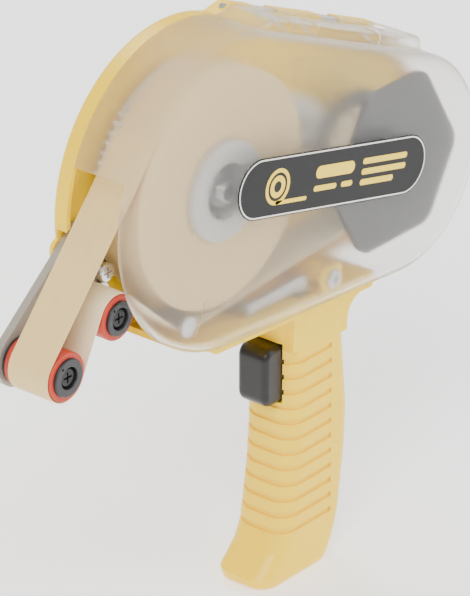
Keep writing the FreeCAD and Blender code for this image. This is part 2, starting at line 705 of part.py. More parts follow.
def casing_tools():
    """What is cut out of the casing: the arm's way out and the room for trigger and brake."""
    notch = new_body("arm_notch", "supply_x", "supply_z")
    prism(notch, "rim_near - 1", "casing_inner", outline(
        ("-52", "4.5"), ("-78", "-13"), ("-60", "-50"), ("-40", "-38"), ("-47", "-16")))
    slot = new_body("brake_slot")
    prism(slot, "brake_near - 1.2", "brake_near + brake_plate + 1.2", outline(
        ("brake_foot_x - 4.5", "brake_z - 22"), ("brake_foot_x + 6", "brake_z - 22"),
        ("brake_foot_x + 6", "brake_z - 1"), ("brake_foot_x - 4.5", "brake_z - 1")))
    rebate = new_body("trigger_rebate")
    side, low = "trigger_half + flange_overlap + side_gap", "trigger_low - flange_overlap - side_gap"
    front, high = "neck_front + grip_wall", "trigger_high + flange_overlap + side_gap"
    rear = front + " + trigger_gap + trigger_flange + trigger_travel + trigger_gap"
    prism(rebate, "-(%s)" % side, side, outline((front, low), (rear, low), (rear, high), (front, high)))
    reach, before = "trigger_half + trigger_gap", "trigger_front - trigger_half"
    sill, head = "trigger_low - trigger_gap", "trigger_high + trigger_gap"
    prism(rebate, "-(%s)" % reach, reach, outline(
        (before, sill), (front + " + 0.4", sill), (front + " + 0.4", head), (before, head)))
    ways = combined("Part::MultiFuse", "trigger_ways", [slot, rebate])
    inside = roof_body("casing_inside")
    prism(inside, "floor_near - 1", "casing_inner", lambda sketch: roof_belt(sketch, "floor_wall"))
    return notch, ways, inside


def bosses():
    """The round pads inside the back plate that the spindles, posts and arm stand on."""
    places = [("supply", "supply_x", "supply_z", "boss_radius"), ("takeup", "takeup_x", "takeup_z",
              "boss_radius"),
              ("idler", "idler_x", "idler_z", "boss_radius"), ("post", "post_x", "post_z",
              "post_radius + 2"),
              ("brake", "brake_x", "brake_z", "brake_pin_radius + 2")]
    pads = []
    for name, x, z, radius in places:
        pads.append(turned(name + "_boss", x, z, ("0", "boss_near"), (radius, "boss_near"),
                           (radius, "casing_inner + 0.5"), ("0", "casing_inner + 0.5")))
    lug = turned("nose_lug", "supply_x + lug_dx", "supply_z + lug_dz", ("0", "lug_near"), ("lug_radius",
                 "lug_near"),
                 ("lug_radius", "casing_back - 0.5"), ("0", "casing_back - 0.5"))
    return pads + [lug]


def grip_bosses(side, radius, low, high):
    """The screw pillars inside one half of the grip."""
    pillars = []
    for name in ("high", "low"):
        x, z = name + "_screw_x", name + "_screw_z"
        pillars.append(turned("%s_%s_boss" % (side, name), x, z, ("0", low), (radius, low), (radius, high),
                       ("0", high)))
    return pillars


def grip_bores(side, *profile):
    """What the grip screws need cut out of one half."""
    bores = []
    for name in ("high", "low"):
        bores.append(turned("%s_%s_bore" % (side, name), name + "_screw_x", name + "_screw_z", *profile))
    return bores


def tab_outline(grow):
    """The screw tab that stands up from the near half, through the casing's floor."""
    half = "tab_half + (%s)" % grow
    return outline(
        ("tab_x - (%s)" % half, "tab_z - tab_drop"), ("tab_x + (%s)" % half, "tab_z - tab_drop"),
        ("tab_x + (%s)" % half, "tab_z + tab_rise + (%s)" % grow, "3"),
        ("tab_x - (%s)" % half, "tab_z + tab_rise + (%s)" % grow, "3"))


def make_back_casing(grooves, channel, slot, inside, notch):
    """The yellow casing: back plate, rim, floor, hinge hump and the far half of the grip."""
    screw_bores = grip_bores(
        "far", ("0", "-1"), ("grip_screw_radius + 0.1", "-1"), ("grip_screw_radius + 0.1", "half_grip - 3"),
        ("head_radius + 0.2", "half_grip - 3"), ("head_radius + 0.2", "half_grip + 1"), ("0",
        "half_grip + 1"))
    far_half = combined("Part::MultiFuse", "grip_far_bossed",
                        [grip_half("grip_far", "")] + grip_bosses("far", "head_radius + 1.8", "0",
                        "half_grip - 1"))
    far_grip = combined("Part::Cut", "grip_far_grooved", [far_half, grooves])
    far_lip = combined("Part::Cut", "lip_far_open", [neck_lip("lip_far", "0", "casing_back - 1"), channel])
    far_side = combined("Part::MultiFuse", "grip_far_side", [far_grip, far_lip])
    trimmed = combined("Part::Cut", "grip_far_trimmed", [far_side, inside])
    shell = combined("Part::Cut", "casing_notched", [casing_shell(), notch])
    tab_boss = tube("tab_boss", "tab_x", "tab_z", "grip_screw_radius - 0.2", "4.2",
                    "floor_near + tab_thick + 0.1", "casing_inner + 0.5")
    solids = [shell, casing_floor(), trimmed, tab_boss] + bosses()
    joined = combined("Part::MultiFuse", "casing_joined", solids)
    tab_notch = new_body("tab_notch")
    prism(tab_notch, "floor_near - 1", "floor_near + tab_thick + 0.1", tab_outline("0.15"))
    cutters = combined("Part::Compound", "casing_cutters", [slot, tab_notch] + screw_bores)
    return combined("Part::Cut", "back_casing", [joined, cutters])


def make_grip_side(grooves, channel, slot):
    """The near half of the grip, screwed to the casing."""
    screw_bores = grip_bores(
        "near", ("0", "1"), ("grip_screw_radius + 0.02", "1"), ("grip_screw_radius + 0.02", "-8"), ("0",
        "-8"))
    near_half = combined("Part::MultiFuse", "grip_near_bossed",
                         [grip_half("grip_near", "-")] + grip_bosses("near", "grip_boss_radius",
                         "1 - half_grip", "0"))
    near_grip = combined("Part::Cut", "grip_near_grooved", [near_half, grooves])
    near_lip = combined("Part::Cut", "lip_near_open", [neck_lip("lip_near", "floor_near", "0"), channel])
    near_side = combined("Part::MultiFuse", "grip_near_side", [near_grip, near_lip])
    outer = roof_body("casing_outside")
    prism(outer, "cover_near", "casing_back", roof_belt)
    bared = combined("Part::Cut", "grip_near_bared", [near_side, outer])
    tab = new_body("grip_tab")
    prism(tab, "floor_near", "floor_near + tab_thick", tab_outline("0"))
    tab_bore = tube("tab_bore", "tab_x", "tab_z", "0", "grip_screw_radius + 0.1", "floor_near - 1",
                    "floor_near + 4")
    tabbed = combined("Part::MultiFuse", "grip_near_tabbed", [bared, tab])
    cutters = combined("Part::Compound", "grip_cutters", [slot, tab_bore] + screw_bores)
    return combined("Part::Cut", "grip_side", [tabbed, cutters])


def make_casing():
    grooves = groove_cutter()
    channel = lip_channel("lip_channel_form")
    notch, slot, inside = casing_tools()
    back = make_back_casing(grooves, channel, slot, inside, notch)
    return [back, make_grip_side(grooves, channel, slot)]


def make_grip_screws():
    """Two screws through the far half, and one through the tab under the cover."""
    high = cross_screw("high_screw", "high_screw_x", "high_screw_z", "half_grip - 1", "-",
                       "grip_screw_radius", "-7.5")
    low = cross_screw("low_screw", "low_screw_x", "low_screw_z", "half_grip - 1", "-", "grip_screw_radius",
                      "-7.5")
    tab = cross_screw("tab_screw", "tab_x", "tab_z", "floor_near - head_height", "+",
                      "grip_screw_radius - 0.22", "floor_near + tab_thick + 7")
    return [combined("Part::Compound", "grip_screws", [high, low, tab])]


# ---------------------------------------------------------------- the hinged cover

def hump_outline(inset):
    top = "nose_radius + hump_rise - (%s)" % inset
    return outline(
        ("hump_start - 3 + (%s)" % inset, "nose_radius - 1.2 - (%s)" % inset),
        ("hump_end + 3 - (%s)" % inset, "nose_radius - 1.2 - (%s)" % inset),
        ("hump_end - (%s)" % inset, top, "1"), ("hump_start + hump_ramp + (%s)" % inset, top, "2"))


def along_roof(body, start, length, draw, kind="PartDesign::Pad"):
    """A pad or pocket that runs along the roof line from a start."""
    grows = kind == "PartDesign::Pad"
    sketch = new_sketch(body, "YZ_Plane", start if grows else "(%s) + (%s)" % (start, length))
    draw(sketch)
    feature = body.newObject(kind, body.Name + "_run")
    feature.Profile = sketch
    bind(feature, {"Length": length})
    checked_volume(body, feature, grows)


def cover_windows(body):
    """The three openings in the top of the hump, over the hinge."""
    for number in (1, 2, 3):
        start, end = "window_%d_start" % number, "window_%d_end" % number
        sketch = new_sketch(body, "XY_Plane", "nose_radius + hump_rise + 1")
        draw_outline(sketch, [(x, y, "window_round") for x, y in (
            (start, "window_near"), (end, "window_near"), (end, "window_far"), (start, "window_far"))])
        pocket = body.newObject("PartDesign::Pocket", "hinge_window")
        pocket.Profile = sketch
        bind(pocket, {"Length": "cover_wall + 1.5"})
        checked_volume(body, pocket, False)


def raised_panel(body, left, right, low, high, rise):
    """A thin raised rectangle on the cover's face."""
    prism(body, "cover_near - (%s)" % rise, "cover_near + 0.3", outline(
        (left, low, "panel_round"), (right, low, "panel_round"),
        (right, high, "panel_round"), (left, high, "panel_round")))


def make_cover():
    """The frosted cover: face, skirt, hump over the hinge, and its two hinge knuckles."""
    body = roof_body("cover_form")
    prism(body, "cover_near", "cover_far", roof_belt)
    round_edges(body, "cover_round", lies_at_y("cover_near"))
    prism(body, "hump_near", "cover_far", hump_outline("0"))
    crest = value("nose_radius + hump_rise")
    round_edges(body, "hump_rise * 0.7", lambda edge: lies_at_y("hump_near")(edge)
                and edge.BoundBox.Center.z > value("supply_z") and edge_height(body, edge) > crest - 0.1)
    hollow(body, "cover_near + cover_wall", "cover_far", lambda sketch: roof_belt(sketch, "cover_wall"))
    round_edges(body, "cover_round - cover_wall", lies_at_y("cover_near + cover_wall"))
    hollow(body, "hump_near + cover_wall + 1", "cover_far", hump_outline("cover_wall"))
    cover_windows(body)
    rib_top, near = "nose_radius + hump_rise + rib_rise", "hump_near - rib_rise"
    for number in (1, 2, 3):
        along_roof(body, "rib_%d_middle - rib_width / 2" % number, "rib_width", outline(
            (near, "nose_radius - 1"), ("shelf_far", "nose_radius + hump_rise - 1"), ("shelf_far", rib_top),
            (near, rib_top, "hump_rise * 0.7 + rib_rise")))
    for start in ("knuckle_first", "knuckle_second"):
        low, high = "hinge_z - knuckle_radius", "hinge_z + knuckle_radius"
        end = "hinge_y + knuckle_radius"
        along_roof(body, start, "knuckle_length", outline(
            ("shelf_far", low), (end, low, "knuckle_radius - 0.02"), (end, high,
            "knuckle_radius - 0.02"), ("shelf_far", high)))
        along_roof(body, start + " - 1", "knuckle_length + 2",
                   circle("hinge_y", "hinge_z", "hinge_pin_radius + run_gap"), "PartDesign::Pocket")
    for name in ("mark", "latch"):
        raised_panel(body, name + "_start", name + "_end", name + "_low", name + "_high", "panel_rise")
    mouth = floor_body("cover_mouth")
    far = "nose_radius + tail_radius + spool_spacing"
    prism(mouth, "cover_floor", "cover_far + 1", outline(
        ("0", "0"), ("-(%s) * cos(mouth_angle)" % far, "(%s) * sin(mouth_angle)" % far), ("-(%s)" % far,
        "-(%s)" % far),
        ("lip_rear + seam_gap", "-(%s)" % far), ("lip_rear + seam_gap", "-nose_radius + 6")))
    return combined("Part::Cut", "cover", [body, mouth])


def edge_height(body, edge):
    """How far an edge's middle is from the supply axis, across the roof line."""
    middle = body.Placement.inverse().multVec(edge.BoundBox.Center)
    return middle.z


def make_label():
    """The long rounded label plate on the cover's face."""
    body = new_body("label_plate", "supply_x", "supply_z", "head_tilt")
    half, up = "label_length / 2", "label_height / 2"
    radius = "label_height / 2 - 0.02"
    prism(body, "cover_near - label_thick", "cover_near", outline(
        ("label_x - " + half, "label_rise - " + up, radius), ("label_x + " + half, "label_rise - " + up,
        radius),
        ("label_x + " + half, "label_rise + " + up, radius), ("label_x - " + half, "label_rise + " + up,
        radius)))
    return body


def make_hinge_pin():
    body = roof_body("hinge_pin")
    along_roof(body, "hump_start + 3", "hump_end - hump_start - 6", circle("hinge_y", "hinge_z",
               "hinge_pin_radius"))
    return body


# ---------------------------------------------------------------- nose arm and rollers

def arm_screw_place(name):
    """Where an arm screw stands, as formulas for x and z."""
    angle = "arm_screw_angle" if name == "upper" else "second_screw_angle"
    return "supply_x - arm_screw_reach * cos(%s)" % angle, "supply_z - arm_screw_reach * sin(%s)" % angle


def make_nose_arm():
    """The grey plate that carries both rollers, screwed inside the casing."""
    body = new_body("nose_arm", "supply_x", "supply_z")
    far = "arm_near + arm_thick"
    prism(body, "arm_near", far, outline(
        ("-54", "-1.5", "2"), ("front_dx - 15.6", "front_dz + 1.6", "arm_radius"),
        ("front_dx - 3.1", "front_dz - 12.8", "arm_radius - 1.5"), ("-43.5", "-36.5", "2"), ("-38.5",
        "-29.5"),
        ("-45.8", "-14.5"), ("-48.5", "-2")))
    for x, z, radius in (("front_dx", "front_dz", "shoulder_radius"), ("rear_dx", "rear_dz",
                         "shoulder_radius"),
                         ("-arm_screw_reach * cos(arm_screw_angle)",
                          "-arm_screw_reach * sin(arm_screw_angle)",
                          "arm_screw_radius"),
                         ("-arm_screw_reach * cos(second_screw_angle)",
                          "-arm_screw_reach * sin(second_screw_angle)", "arm_screw_radius")):
        hollow(body, "arm_near", far, circle(x, z, radius + " + 0.02"))
    return body


def make_roller(name, x, z, radius):
    """A rubber tyre on a dark hub that is open round its screw."""
    inner = "%s - tyre_wall" % radius
    face = "-tyre_reach - roller_hub_step"
    tyre = turned(name + "_tyre", x, z, (inner + " + 0.02", "-tyre_reach"), (radius, "-tyre_reach", "0.7"),
                  (radius, "tyre_reach", "0.7"), (inner + " + 0.02", "tyre_reach"))
    bore, floor = "shoulder_radius + run_gap", face + " + recess_depth"
    hub = turned(name + "_hub", x, z, (bore, floor), ("recess_radius", floor), ("recess_radius", face,
                 "0.4"),
                 (inner, face, "0.6"), (inner, "tyre_reach"), (radius + " - 0.5", "tyre_reach"),
                 (radius + " - 0.5", "tyre_reach + roller_flange"), (bore, "tyre_reach + roller_flange"))
    pin_hole = "(recess_radius + (%s)) / 2" % inner
    hollow(hub, face, face + " + 1.5", circle("-(%s) * 0.6" % pin_hole, pin_hole + " * 0.8", "0.5"))
    return [tyre, hub]


def make_roller_screws():
    screws = []
    for name in ("front", "rear"):
        face = "-tyre_reach - roller_hub_step + 1"
        screws.append(cross_screw(name + "_shoulder_screw", name + "_x", name + "_z", face, "+",
                                  "shoulder_radius", "arm_near + arm_thick + 0.4"))
    return [combined("Part::Compound", "roller_screws", screws)]


def make_arm_fastenings():
    """Two screws that hold the arm, the upper one long with a chrome spring under its head."""
    upper_x, upper_z = arm_screw_place("upper")
    lower_x, lower_z = arm_screw_place("lower")
    upper = cross_screw("upper_arm_screw", upper_x, upper_z, "2", "+", "arm_screw_radius", "casing_inner")
    lower = cross_screw("lower_arm_screw", lower_x, lower_z, "arm_near - head_height", "+",
                        "arm_screw_radius", "casing_inner")
    spring = coil_spring("tension_spring", "tension_wire", "tension_coil", "tension_turns",
                         "arm_near - 2 - head_height - 1.2", (upper_x, "2 + head_height + 0.6",
                         upper_z), V(0, 1, 0))
    return [combined("Part::Compound", "arm_screws", [upper, lower]), spring]


# ---------------------------------------------------------------- spools and their gears

def make_supply():
    """The supply spool: hub, gear, paper core, roll of tape and retaining ring."""
    x, z = "supply_x", "supply_z"
    bore, outer = "spindle_radius + run_gap", "core_radius - 0.1"
    flange = "tape_far + 0.2"
    hub = turned("supply_hub", x, z, (bore, "tape_near - 0.5"), ("6.2", "tape_near - 0.5"), ("6.2", "5"),
                 ("11.2", "5"), ("11.2", "tape_near - 2.7"), (outer, "tape_near - 2.7"), (outer, flange),
                 ("hub_flange_radius", flange), ("hub_flange_radius", flange + " + hub_flange"),
                 (outer, flange + " + hub_flange"), (outer, "gear_far + 0.1"), (bore, "gear_far + 0.1"))
    core = tube("paper_core", x, z, "core_radius", "core_radius + core_wall", "tape_near", "tape_far")
    roll = tube("tape_roll", x, z, "core_radius + core_wall + 0.02", "roll_radius", "tape_near", "tape_far")
    ring = tube("retaining_ring", x, z, outer + " + 0.02", "ring_radius", "tape_near - 0.1 - ring_thick",
                "tape_near - 0.1")
    gear = spur_gear("supply_gear", "supply_teeth", x, z, outer + " + 0.02", -value("head_tilt"), 8)
    return [hub, core, roll, ring, gear]


def make_idler():
    turn = -value("head_tilt")
    gear = spur_gear("idler_gear", "idler_teeth", "idler_x", "idler_z", "spindle_radius + run_gap", turn, 6)
    post = turned("idler_post", "idler_x", "idler_z", ("0", "gear_near - 1.1"), ("collar_radius",
                  "gear_near - 1.1", "0.4"),
                  ("collar_radius", "gear_near - 0.2"), ("spindle_radius", "gear_near - 0.2"),
                  ("spindle_radius", "boss_near"), ("0", "boss_near"))
    return [gear, post]


def lobed_flange():
    """The three-lobed flange that keeps the liner on the take-up hub."""
    body = new_body("lobed_flange", "takeup_x", "takeup_z")
    low = "tape_near - 0.5 - lobe_thick"
    reach = "lobe_radius * 1.16"
    corners = []
    for number in range(3):
        angle = 90 + 120 * number
        for swing in ("-", "+"):
            bearing = "(%d %s lobe_swing)" % (angle, swing)
            corners.append(("%s * cos%s" % (reach, bearing), "%s * sin%s" % (reach, bearing), "lobe_round"))
    prism(body, low, low + " + lobe_thick", outline(*corners))
    hollow(body, low, low + " + lobe_thick", circle("0", "0", "takeup_hub_radius - 2"))
    return body


def make_takeup():
    """The take-up spool: clutched gear, felt, hub, wound liner and lobed flange."""
    x, z = "takeup_x", "takeup_z"
    bore, near = "spindle_radius + run_gap", "tape_near - 0.5"
    flange = "tape_far + 0.2"
    hub = turned("takeup_hub", x, z, (bore, "2"), ("takeup_hub_radius - 2.2", "2"),
                 ("takeup_hub_radius - 2.2", near),
                 ("takeup_hub_radius", near), ("takeup_hub_radius", flange), ("hub_flange_radius", flange),
                 ("hub_flange_radius", flange + " + hub_flange"), (bore, flange + " + hub_flange"))
    felt_near = flange + " + hub_flange + 0.02"
    felt = tube("clutch_felt", x, z, "spindle_radius + 0.4", "felt_radius", felt_near,
                felt_near + " + felt_thick")
    wound = tube("wound_liner", x, z, "takeup_hub_radius + 0.02", "wound_radius", "tape_near", "tape_far")
    half_tooth = 180 / value("takeup_teeth")
    gear = spur_gear("takeup_gear", "takeup_teeth", x, z, bore, half_tooth - value("head_tilt"), 0)
    return [hub, felt, wound, gear, lobed_flange()]


def make_spindles():
    """The fixed spindles and posts that stand on the back plate."""
    supply = turned("supply_spindle", "supply_x", "supply_z", ("0", "tape_near - 3.5"),
                    ("spindle_radius", "tape_near - 3.5", "0.8"), ("spindle_radius", "boss_near"), ("0",
                    "boss_near"))
    clip = tube("spindle_clip", "supply_x", "supply_z", "spindle_radius + 0.02", "clip_radius",
                "tape_near - 1.7",
                "tape_near - 0.8")
    takeup = turned("takeup_spindle", "takeup_x", "takeup_z", ("0", "tape_near - 4.2"),
                    ("spindle_radius", "tape_near - 4.2"), ("spindle_radius", "boss_near"), ("0",
                    "boss_near"))
    cap = turned("takeup_cap", "takeup_x", "takeup_z", ("0", "tape_near - 6.4"), ("cap_radius",
                 "tape_near - 6.4", "1"),
                 ("cap_radius", "tape_near - 3.4"), ("spindle_radius + 0.02", "tape_near - 3.4"),
                 ("spindle_radius + 0.02", "tape_near - 4.22"), ("0", "tape_near - 4.22"))
    clutch = coil_spring("clutch_spring", "clutch_wire", "clutch_coil", "clutch_turns",
                         "tape_near * -1 + 3.4 + 0.4",
                         ("takeup_x", "tape_near - 2.7", "takeup_z"), V(0, 1, 0))
    post = turned("liner_post", "post_x", "post_z", ("0", "tape_near - 1.6"), ("post_radius + 1.5",
                  "tape_near - 1.6"),
                  ("post_radius + 1.5", "tape_near - 0.6"), ("post_radius", "tape_near - 0.6"),
                  ("post_radius", "boss_near"), ("0", "boss_near"))
    pin = turned("brake_pin", "brake_x", "brake_z", ("0", "brake_near - 1"), ("brake_pin_radius",
                 "brake_near - 1"),
                 ("brake_pin_radius", "boss_near"), ("0", "boss_near"))
    return [supply, clip, takeup, cap, clutch, post, pin]


# ---------------------------------------------------------------- trigger and brake

def make_trigger():
    """The black trigger, with a flange that keeps it in its window and a nose for the brake."""
    body = new_body("trigger")
    flange_x = "neck_front + grip_wall + trigger_gap"
    prism(body, "-trigger_half", "trigger_half", outline(
        ("trigger_front", "trigger_low", "trigger_round"), (flange_x, "trigger_low"), (flange_x,
        "trigger_high"),
        ("trigger_front", "trigger_high", "trigger_round")))
    round_edges(body, "trigger_edge",
                lambda edge: edge.BoundBox.YLength < 0.01 and edge.BoundBox.XMin < value(flange_x) - 0.1
                and abs(abs(edge.BoundBox.Center.y) - value("trigger_half")) < 0.01)
    prism(body, "-trigger_half - flange_overlap", "trigger_half + flange_overlap", outline(
        (flange_x, "trigger_low - flange_overlap"), (flange_x + " + trigger_flange",
                                                     "trigger_low - flange_overlap"),
        (flange_x + " + trigger_flange", "trigger_high + flange_overlap"),
        (flange_x, "trigger_high + flange_overlap")))
    prism(body, "brake_near", "brake_near + brake_plate", outline(
        (flange_x, "nose_z - 1.5"), ("brake_foot_x - brake_bar / 2 - trigger_gap", "nose_z - 1.5", "1"),
        ("brake_foot_x - brake_bar / 2 - trigger_gap", "nose_z + 1.5", "1"), (flange_x, "nose_z + 1.5")))
    return body


def make_trigger_spring():
    start = "neck_front + grip_wall + trigger_gap + trigger_flange + spring_wire + 0.1"
    spring = coil_spring("trigger_spring", "spring_wire", "spring_coil", "spring_turns",
                         "spring_seat_x - (%s) - spring_wire - 0.1" % start, (start, "0", "spring_z"), V(1,
                         0, 0))
    return spring


def make_brake():
    """The brake lever: a foot behind the trigger, a cross tube, and an arm under the supply gear."""
    tube_body = turned("brake_lever_tube", "brake_x", "brake_z", ("brake_pin_radius + run_gap",
                       "brake_near"),
                       ("brake_tube", "brake_near"), ("brake_tube", "gear_far - 0.4"),
                       ("brake_pin_radius + run_gap", "gear_far - 0.4"))
    foot = new_body("brake_foot")
    half = "brake_bar / 2"
    prism(foot, "brake_near", "brake_near + brake_plate", outline(
        ("brake_x - brake_tube * 0.6", "brake_z - %s + 0.2" % half), ("brake_foot_x - " + half,
        "brake_z - " + half),
        ("brake_foot_x - " + half, "brake_foot_z", "1.5"), ("brake_foot_x + " + half, "brake_foot_z", "1.5"),
        ("brake_foot_x + " + half, "brake_z + " + half, "2"), ("brake_x - brake_tube * 0.6",
        "brake_z + %s - 0.2" % half)))
    shoe_top = "supply_z - gear_module * (supply_teeth / 2 + 1) - side_gap - pad_thick"
    shoe = new_body("brake_shoe")
    shoe_left, shoe_right = "supply_x - pad_length / 2 - 0.5", "supply_x + pad_length / 2 + 0.5"
    prism(shoe, "gear_near + 0.3", "gear_near + 0.3 + brake_plate", outline(
        (shoe_left, shoe_top), (shoe_left, shoe_top + " - 3"), (shoe_right, shoe_top + " - 5.5"),
        ("brake_x - 1.5", "brake_z - brake_tube + 0.3"), ("brake_x + brake_tube - 0.5", "brake_z"),
        ("brake_x + 0.5", "brake_z + brake_tube - 0.2"), (shoe_right, shoe_top)))
    parts = combined("Part::MultiFuse", "brake_lever_solid", [tube_body, foot, shoe])
    bore = tube("brake_lever_bore", "brake_x", "brake_z", "0", "brake_pin_radius + run_gap",
                "brake_near - 1", "gear_far")
    lever = combined("Part::Cut", "brake_lever", [parts, bore])
    pad = new_body("brake_pad")
    prism(pad, "gear_near + 0.3", "gear_near + 0.3 + brake_plate", outline(
        ("supply_x - pad_length / 2", shoe_top), ("supply_x + pad_length / 2", shoe_top),
        ("supply_x + pad_length / 2", shoe_top + " + pad_thick"), ("supply_x - pad_length / 2",
        shoe_top + " + pad_thick")))
    return [lever, pad]


# ---------------------------------------------------------------- the whole object

def build_nodes():
    """Every separate piece of the dispenser, in the order it would be laid on a bench."""
    nodes = make_casing() + make_grip_screws()
    nodes += [make_cover(), make_label(), make_hinge_pin(), make_nose_arm()]
    nodes += make_roller("front", "front_x", "front_z", "front_tyre_radius")
    nodes += make_roller("rear", "rear_x", "rear_z", "rear_tyre_radius")
    nodes += make_roller_screws() + make_arm_fastenings()
    nodes += make_supply() + make_idler() + make_takeup() + make_spindles()
    nodes += make_webs() + [make_trigger(), make_trigger_spring()] + make_brake()
    return nodes


def check_and_write(nodes):
    """Stop on any failed object or bad shape, then write one STEP file per node."""
    document.recompute()
    failed = [item.Label for item in document.Objects if "Invalid" in item.State or "Error" in item.State]
    bad = [node.Label for node in nodes if node.Shape.isNull() or not node.Shape.isValid()]
    if failed or bad:
        raise RuntimeError("failed: %s, bad shapes: %s" % (failed, bad))
    os.makedirs("parts", exist_ok=True)
    for node in nodes:
        node.Shape.exportStep("parts/%s.step" % node.Label)
        box = node.Shape.BoundBox
        print("%-18s solids %d  volume %10.1f  x %7.1f..%7.1f  y %6.1f..%6.1f  z %6.1f..%6.1f" % (
            node.Label, len(node.Shape.Solids), node.Shape.Volume, box.XMin, box.XMax,
            box.YMin, box.YMax, box.ZMin, box.ZMax))


fill_sheet()
check_and_write(build_nodes())
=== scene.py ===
import json
import math

import bmesh
import bpy
from bpy.props import FloatProperty, FloatVectorProperty, IntProperty, PointerProperty
from mathutils import Matrix, Vector


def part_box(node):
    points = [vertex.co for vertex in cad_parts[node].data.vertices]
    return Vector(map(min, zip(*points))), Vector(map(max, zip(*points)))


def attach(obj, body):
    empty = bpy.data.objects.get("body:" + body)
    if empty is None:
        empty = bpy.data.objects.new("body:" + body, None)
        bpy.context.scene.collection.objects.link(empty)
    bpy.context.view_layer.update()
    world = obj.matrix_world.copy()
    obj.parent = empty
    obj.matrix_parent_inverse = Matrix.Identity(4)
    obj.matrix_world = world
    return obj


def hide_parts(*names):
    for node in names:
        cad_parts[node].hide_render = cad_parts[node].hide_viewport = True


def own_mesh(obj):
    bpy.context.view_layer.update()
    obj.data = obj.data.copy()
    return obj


bl_info = {
    "name": "Tape dispenser looks",
    "version": (1, 0, 0),
    "blender": (4, 5, 0),
    "location": "3D View > Sidebar > Dispenser",
    "description": "Finishes and fine pieces for a pistol-grip tape dispenser",
    "category": "Object",
}

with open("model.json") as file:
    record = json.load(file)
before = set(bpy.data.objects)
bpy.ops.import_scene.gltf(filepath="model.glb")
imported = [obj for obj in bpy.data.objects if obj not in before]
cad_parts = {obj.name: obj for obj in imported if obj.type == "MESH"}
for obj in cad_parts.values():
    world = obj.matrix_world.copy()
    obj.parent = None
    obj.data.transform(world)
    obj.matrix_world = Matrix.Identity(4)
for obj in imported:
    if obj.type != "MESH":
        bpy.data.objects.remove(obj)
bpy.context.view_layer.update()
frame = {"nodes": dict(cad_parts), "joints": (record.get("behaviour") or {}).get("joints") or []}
JOINTS = {joint["name"]: joint for joint in frame["joints"]}
SUPPLY = Vector(JOINTS["supply_spin"]["pos_m"])
TAKEUP = Vector(JOINTS["takeup_spin"]["pos_m"])
FRONT_ROLLER = Vector(JOINTS["front_roller_spin"]["pos_m"])
REAR_ROLLER = Vector(JOINTS["rear_roller_spin"]["pos_m"])
HEAD_TILT = math.atan2(SUPPLY.z - TAKEUP.z, TAKEUP.x - SUPPLY.x)
MM = 0.001

# Surfaces
SCUFF_STRETCH, SCUFF_TURN, SCUFF_EDGES = (1.0, 0.35, 2.6), 0.5, (0.60, 0.72)
SCUFF_ROUGHENS = 0.25
GRAIN_HEIGHT = 0.0004
LAYER_STRENGTH, LAYER_HEIGHT = 0.35, 0.0003
RUBBER_GRIND, RUBBER_GRIND_HEIGHT = 420.0, 0.0002
CORE_PITCH = 0.0006
ROLL_LAYER_COLOUR = (0.55, 0.42, 0.22)
CORE_LAYER_COLOUR = (0.34, 0.23, 0.12)
LINER_LAYER_COLOUR = (0.58, 0.46, 0.26)
FELT_COLOUR = (0.20, 0.185, 0.17)
CHROME_COLOUR = (0.72, 0.72, 0.73)

# Label, in millimetres; each bar is its start, end, height and rise from the label's middle
PRINT_DEPTH, PRINT_SUNK, PRINT_PROUD = 0.08, 0.01, 0.05
LABEL_INSET, LABEL_BEVEL = 0.9, 0.12
ROLL_RINGS = ((7.2, 5.6), (4.4, 2.2))
ROLL_SHARE = 0.30
STRIP_LONG, STRIP_HIGH, STRIP_RISE = 19, 1.6, -6.4
LABEL_BARS = ((-12, 12, 5.0, 3.0), (-12, 2, 2.2, -3.4), (5, 12, 2.2, -3.4),
              (17, 45, 2.4, 4.4), (17, 45, 2.4, 0.2), (17, 38, 2.4, -4.0))

# Points round a rounded end, a ring and one turn of wire
END_STEPS, RING_STEPS, WIRE_STEPS = 24, 48, 32

# Lights: name, place, size in metres and share of the key light's power
LIGHT_TARGET = (0.0, 0.0, 0.15)
LIGHTS = (("key", (-1.1, -0.7, 1.5), 0.9, 1.0),
          ("fill", (0.9, -1.3, 0.8), 1.2, 0.45),
          ("rim", (0.5, 1.1, 1.3), 0.8, 0.5))
SENSOR_WIDTH_MM, CLIP_START = 36.0, 0.05


def middle(node):
    """The centre of a CAD node's box."""
    low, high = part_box(node)
    return (low + high) / 2


# ---------------------------------------------------------------- settings

def colour(name, default, description):
    return FloatVectorProperty(name=name, description=description, default=default,
                               subtype="COLOR", min=0.0, max=1.0, size=3)


def share(name, default, description):
    return FloatProperty(name=name, description=description, default=default,
                         subtype="FACTOR", min=0.0, max=1.0)


def length(name, default, description):
    return FloatProperty(name=name, description=description, default=default,
                         unit="LENGTH", subtype="DISTANCE")


class DispenserPlastics(bpy.types.PropertyGroup):
    casing_colour: colour("Casing", (0.95, 0.62, 0.001), "Colour of the yellow mouldings")
    casing_roughness: share("Casing roughness", 0.36, "How matt the yellow mouldings are")
    cover_colour: colour("Cover", (0.97, 0.965, 0.95), "Tint of the frosted cover")
    cover_roughness: share("Cover frost", 0.33, "How strongly the cover scatters what is behind it")
    cover_clear: share("Cover clearness", 0.95, "How much of the light passes through the cover")
    trigger_colour: colour("Trigger", (0.012, 0.011, 0.012), "Colour of the trigger")
    spring_wire: length("Spring wire", 0.0005, "Radius of the return spring's wire")
    spring_turns: IntProperty(name="Spring turns", description="Turns in the return spring",
                              default=6, min=2)
    hub_colour: colour("Dark hubs", (0.014, 0.014, 0.016), "Colour of the roller and take-up hubs")
    spool_colour: colour("Supply spool", (0.52, 0.50, 0.47), "Colour of the supply hub and its ring")
    gear_colour: colour("Gears", (0.74, 0.72, 0.66), "Colour of the moulded gears")


